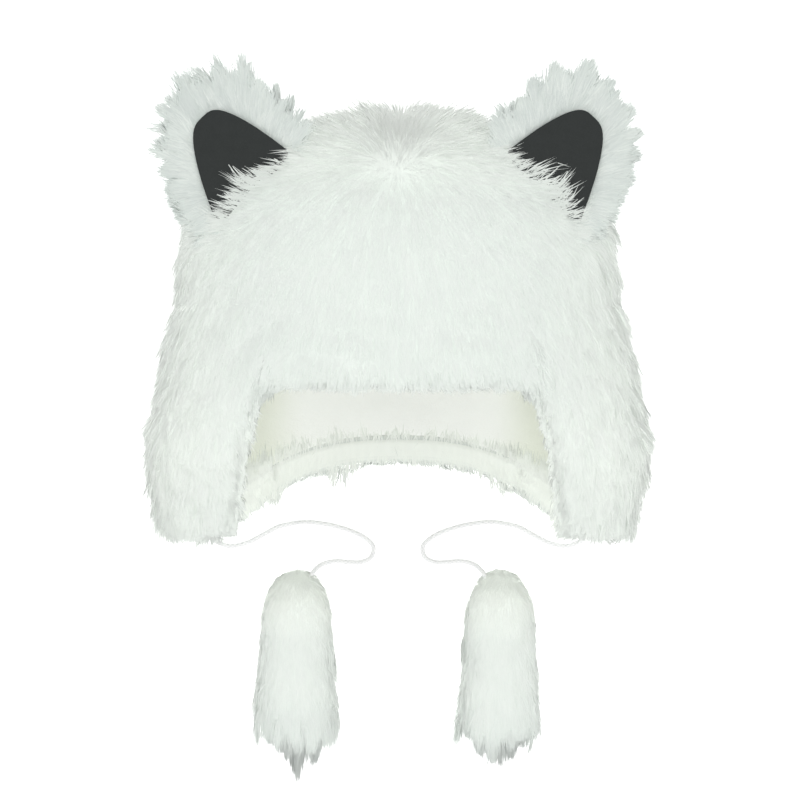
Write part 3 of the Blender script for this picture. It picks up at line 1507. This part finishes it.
def tube_along(name, path, radius, sides):
    """A closed round tube along a path, with its own UV map."""
    up = Vector((0, 0, 1))
    rings = []
    for index, point in enumerate(path):
        ahead = path[min(index + 1, len(path) - 1)] - path[max(index - 1, 0)]
        ahead.normalize()
        side = ahead.cross(up).normalized()
        over = side.cross(ahead)
        for corner in range(sides):
            turn = 2 * math.pi * (corner + 0.5) / sides
            spot = point + side * (radius * math.cos(turn)) + over * (radius * math.sin(turn))
            rings.append((spot.x, spot.y, max(spot.z, FLOOR_CLEAR / 2)))
    faces = []
    uvs = []
    runs = len(path) - 1
    for index in range(runs):
        for corner in range(sides):
            after = (corner + 1) % sides
            low = index * sides
            high = low + sides
            faces.append((low + corner, low + after, high + after, high + corner))
            left, right = corner / sides, (corner + 1) / sides
            bottom, top = index / runs, (index + 1) / runs
            uvs.extend(((left, bottom), (right, bottom), (right, top), (left, top)))
    faces.append(tuple(reversed(range(sides))))
    faces.append(tuple(runs * sides + corner for corner in range(sides)))
    uvs.extend(((0.01, 0.001),) * (2 * sides))
    mesh = bpy.data.meshes.new(name)
    mesh.from_pydata(rings, [], faces)
    layer = mesh.uv_layers.new(name=UV_NAME)
    layer.uv.foreach_set("vector", np.array(uvs).ravel())
    piece = add_piece(name, mesh)
    select(piece)
    face_outwards()
    mesh.shade_smooth()
    return piece


# A tassel's undercoat is less than the tassel on each side and at its ends, and lies at this level.
TASSEL_CORE = {"side": 0.005, "thick": 0.003, "top": 0.0015, "ends": 0.0025, "sunk": 0.0015, "level": 0.006}
TASSEL_TOP_ROUND = 2.1
TASSEL_FOOT_ROUND = 2.4
TASSEL_CORNER = 0.9

# Its fur by its place along the tassel: length, lift, clump and tone.
TASSEL_LENGTHS = {0.0: 0.004, 0.12: 0.008, 0.6: 0.014, 0.85: 0.020, 1.0: 0.011}
TASSEL_LIFTS = {0.0: 0.1, 0.12: 0.16, 0.7: 0.3, 1.0: 0.2}
TASSEL_LIFT_BY_FACING = {0.3: 1.0, 0.9: 0.6}
TASSEL_CLUMPS = {0.7: 0.25, 0.9: 0.7}
TASSEL_TONES = {0.0: 0.85, 0.15: 0.85, 0.4: 0.5, 0.7: 0.5, 0.95: 0.27}
TASSEL_TIP = {"more": 0.012, "aside": 0.002, "half": 0.009, "from": 0.75, "reach": 0.25}
TASSEL_COMB_ASIDE = 0.3
TASSEL_FOOT_FACING = -0.3
FOOT_CHANCE = {0.0: 1.6, 0.03: 1.0}


def tassel_width(along):
    """The tassel's width at a share of its length: a round top, and a body that grows downwards."""
    top = closing(1 - along / TASSEL_CROWN, TASSEL_TOP_ROUND)
    foot = closing((along - 1 + TASSEL_FOOT) / TASSEL_FOOT, TASSEL_FOOT_ROUND)
    return top * foot * (0.92 + 0.08 * along)


def tassel_share(points):
    """How far down the tassel a point lies: 0 at its top, 1 at its low end."""
    return (BROW_Y - TASSEL_TOP - points[:, 1]) / TASSEL_LONG


class HAT_OT_tassels(bpy.types.Operator):
    """Make the two fur tassels"""

    bl_idname = "hat.tassels"
    bl_label = "Tassels"

    def execute(self, context):
        for side, name in SIDES:
            self.make_tassel(side, "tassel_" + name)
        return {"FINISHED"}

    def make_core(self, side, name):
        core = new_ball(name, 36, 40)
        ball = coordinates(core.data)
        along = np.arccos(np.clip(ball[:, 2], -1, 1)) / math.pi
        spin = np.arctan2(ball[:, 1], ball[:, 0])
        pole = np.hypot(ball[:, 0], ball[:, 1]) < 1e-5
        width = np.where(pole, 0, tassel_width(along))
        x = width * (TASSEL_WIDE / 2 - TASSEL_CORE["side"]) * signed_power(np.cos(spin), TASSEL_CORNER)
        z = width * (TASSEL_THICK / 2 - TASSEL_CORE["thick"]) * signed_power(np.sin(spin), TASSEL_CORNER)
        level = TASSEL_THICK / 2 * tassel_width(along) - TASSEL_CORE["sunk"]
        level = np.maximum(level, TASSEL_CORE["level"])
        y = BROW_Y - TASSEL_TOP - TASSEL_CORE["top"] - along * (TASSEL_LONG - TASSEL_CORE["ends"])
        points = np.stack([side * (TASSEL_ACROSS + x), y, np.maximum(level + z, FLOOR_CLEAR)], axis=1)
        set_coordinates(core.data, points)
        face_outwards()
        core.data.shade_smooth()
        return core

    def make_tassel(self, side, node):
        core = self.make_core(side, node + "_fur")
        rng = random_stream(SEEDS[node])
        middle_x = side * TASSEL_ACROSS
        low_end = BROW_Y - TASSEL_TOP - TASSEL_LONG

        def comb(points, normals):
            across = (points[:, 0] - middle_x) / (TASSEL_WIDE / 2) * TASSEL_COMB_ASIDE
            way = np.stack([across, np.full(len(points), -1.0), np.zeros(len(points))], axis=1)
            foot = np.sqrt(1 - np.clip(-normals[:, 1], 0, 1) ** 2)
            return way * np.where(normals[:, 1] < TASSEL_FOOT_FACING, foot, 1)[:, None]

        def length(points):
            share = tassel_share(points)
            aside = points[:, 0] - middle_x + side * TASSEL_TIP["aside"]
            middle = np.exp(-(aside / TASSEL_TIP["half"]) ** 2)
            low = ramp(share, TASSEL_TIP["from"], TASSEL_TIP["reach"])
            return read_table(TASSEL_LENGTHS, share) + TASSEL_TIP["more"] * middle * low

        def lift(points, normals):
            steep = read_table(TASSEL_LIFTS, tassel_share(points))
            return steep * read_table(TASSEL_LIFT_BY_FACING, normals[:, 2])

        def clump(points):
            return read_table(TASSEL_CLUMPS, tassel_share(points))

        def tone(points):
            return read_table(TASSEL_TONES, tassel_share(points))

        def chance(centre, normal, layer):
            on_floor = np.where(centre[:, 2] < FLOOR_TOUCH, FLOOR_CHANCE, 1.0)
            return on_floor * np.interp(
                centre[:, 1], [low_end + over for over in FOOT_CHANCE], list(FOOT_CHANCE.values()))

        place, normal = scatter(core.data, sizes().tassel_strands, chance, rng)
        grown = grow_fur(
            core.name + "_strands", place, normal, comb, length, lift, tone, rng, clump=clump, wild=0.15)
        skin_uv(core.data, tone(coordinates(core.data)))
        tassel = join_pieces(core, grown)
        finish_fur(tassel, node)


# The studio's lamps are round and aim at the middle of the hat.
LAMPS = (
    {"name": "front_light", "place": (0.0, -0.2, 2.3), "power": 14.8},
    {"name": "low_light", "place": (0.0, -1.6, 1.6), "power": 11.2},
    {"name": "high_light", "place": (0.0, 1.9, 1.2), "power": 10.4},
    {"name": "left_light", "place": (-1.9, 0.0, 1.2), "power": 6.3},
    {"name": "right_light", "place": (1.9, 0.0, 1.2), "power": 6.3},
)
LAMP_SIZE = 1.2
LAMPS_AIM = Vector((0, 0, 0.03))
ROOM_LIGHT = 0.55
FLOOR_SIZE = 8
FLOOR_GLOW = 0.45
VIEW_END = 20


class HAT_OT_studio(bpy.types.Operator):
    """Make the pale floor, the soft lights and the camera straight above"""

    bl_idname = "hat.studio"
    bl_label = "Studio"

    def execute(self, context):
        self.floor()
        for lamp in LAMPS:
            self.light(**lamp)
        world = bpy.data.worlds.new("studio")
        world.use_nodes = True
        feed_all(world.node_tree, world.node_tree.nodes["Background"], {
            "Color": (1, 1, 1, 1), "Strength": ROOM_LIGHT})
        context.scene.world = world
        context.scene.view_settings.view_transform = "Standard"
        self.camera(context)
        return {"FINISHED"}

    def floor(self):
        deselect_all()
        bpy.ops.mesh.primitive_plane_add(size=FLOOR_SIZE, location=(0, 0, 0))
        floor = active("floor")
        material, tree, shader = new_material("pale_floor")
        feed_all(tree, shader, {
            "Base Color": colours().floor,
            "Roughness": 0.9,
            "Specular IOR Level": 0.0,
            "Emission Color": (1, 1, 1, 1),
            "Emission Strength": FLOOR_GLOW,
        })
        floor.data.materials.append(material)

    def light(self, name, place, power):
        bpy.ops.object.light_add(type="AREA", location=place)
        lamp = bpy.context.object
        lamp.name = name
        lamp.data.shape = "DISK"
        lamp.data.size = LAMP_SIZE
        lamp.data.energy = power
        lamp.data.cycles.use_multiple_importance_sampling = False
        aim = LAMPS_AIM - Vector(place)
        lamp.rotation_euler = aim.to_track_quat("-Z", "Y").to_euler()

    def camera(self, context):
        focal = sizes().lens / 1000
        height = PIXEL_LEVEL + PIXEL * IMAGE_SIZE * focal / SENSOR
        x = (IMAGE_SIZE / 2 - MIDDLE_PIXEL) * PIXEL
        bpy.ops.object.camera_add(location=(x, BROW_Y - VIEW_DROP, height), rotation=(0, 0, 0))
        camera = bpy.context.object
        camera.name = "camera"
        camera.data.lens = sizes().lens
        camera.data.sensor_width = SENSOR * 1000
        camera.data.clip_end = VIEW_END
        camera.data.dof.use_dof = False
        context.scene.camera = camera


class HAT_PT_panel(bpy.types.Panel):
    """Lists the steps that build the hat"""

    bl_idname = "HAT_PT_panel"
    bl_label = "Bear ear hat"
    bl_space_type = "VIEW_3D"
    bl_region_type = "UI"
    bl_category = "Hat"

    def draw(self, context):
        for step in STEPS:
            self.layout.operator(step.bl_idname)
        for name in HatSizes.__annotations__:
            self.layout.prop(context.scene.hat_sizes, name)
        for name in HatColours.__annotations__:
            self.layout.prop(context.scene.hat_colours, name)


STEPS = (
    HAT_OT_studio,
    HAT_OT_cords,
    HAT_OT_lining,
    HAT_OT_crown,
    HAT_OT_flaps,
    HAT_OT_ears,
    HAT_OT_inner_ears,
    HAT_OT_tassels,
)
CLASSES = (HatSizes, HatColours, *STEPS, HAT_PT_panel)


def register():
    for item in CLASSES:
        bpy.utils.register_class(item)
    bpy.types.Scene.hat_sizes = PointerProperty(type=HatSizes)
    bpy.types.Scene.hat_colours = PointerProperty(type=HatColours)


def unregister():
    del bpy.types.Scene.hat_colours
    del bpy.types.Scene.hat_sizes
    for item in reversed(CLASSES):
        bpy.utils.unregister_class(item)


def main():
    register()
    bpy.ops.hat.studio()
    bpy.ops.hat.cords()
    bpy.ops.hat.lining()
    bpy.ops.hat.crown()
    bpy.ops.hat.flaps()
    bpy.ops.hat.ears()
    bpy.ops.hat.inner_ears()
    bpy.ops.hat.tassels()


if __name__ == "__main__":
    main()
